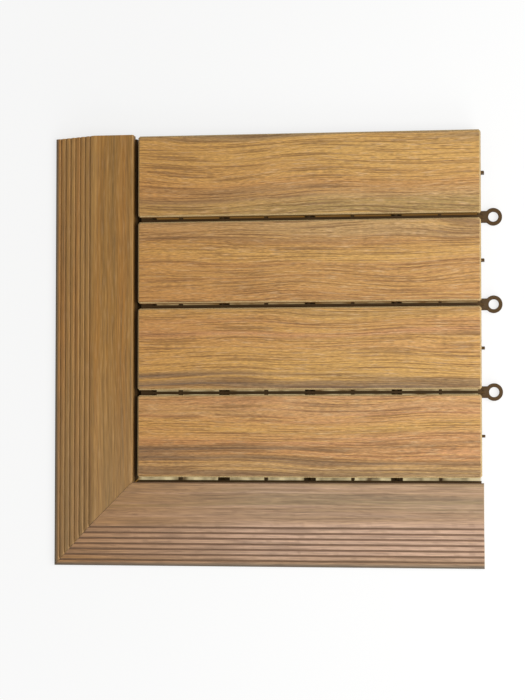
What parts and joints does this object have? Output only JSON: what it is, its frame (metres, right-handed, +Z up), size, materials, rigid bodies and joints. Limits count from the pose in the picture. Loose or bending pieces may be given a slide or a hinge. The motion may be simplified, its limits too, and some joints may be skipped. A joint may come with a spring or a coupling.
{
  "type": "interlocking deck tile",
  "caption": "Slatted composite deck tile on a moulded clip-together grid, with ribbed ramp edge boards mitred round one corner.",
  "frame": {"origin": "on the ground under the middle of the tile, not of the edge boards", "axes": "+X along the slats, +Y across them, +Z up; the edge boards are on the -X and -Y sides"},
  "size_m": [0.3908, 0.3746, 0.022],
  "materials": {
    "composite_slat": "wood-plastic composite, embossed grain in streaked teak tones, matt",
    "composite_edge": "wood-plastic composite, extruded and grooved, tan with brown streaks, matt",
    "moulded_plastic": "injection-moulded polypropylene, dark brown, fine matt grain",
    "screw_steel": "plain stainless steel, pan head with a cross recess"
  },
  "bodies": {
    "root": {"base_grid": "moulded_plastic", "slat_1": "composite_slat", "slat_1_screw_left": "screw_steel", "slat_1_screw_right": "screw_steel", "slat_2": "composite_slat", "slat_2_screw_left": "screw_steel", "slat_2_screw_right": "screw_steel", "slat_3": "composite_slat", "slat_3_screw_left": "screw_steel", "slat_3_screw_right": "screw_steel", "slat_4": "composite_slat", "slat_4_screw_left": "screw_steel", "slat_4_screw_right": "screw_steel", "edge_board_front": "composite_edge", "edge_board_left": "composite_edge", "edge_strip_front": "moulded_plastic", "edge_strip_left": "moulded_plastic", "edge_screw_front_1": "screw_steel", "edge_screw_front_2": "screw_steel", "edge_screw_left_1": "screw_steel", "edge_screw_left_2": "screw_steel"}
  },
  "joints": []
}
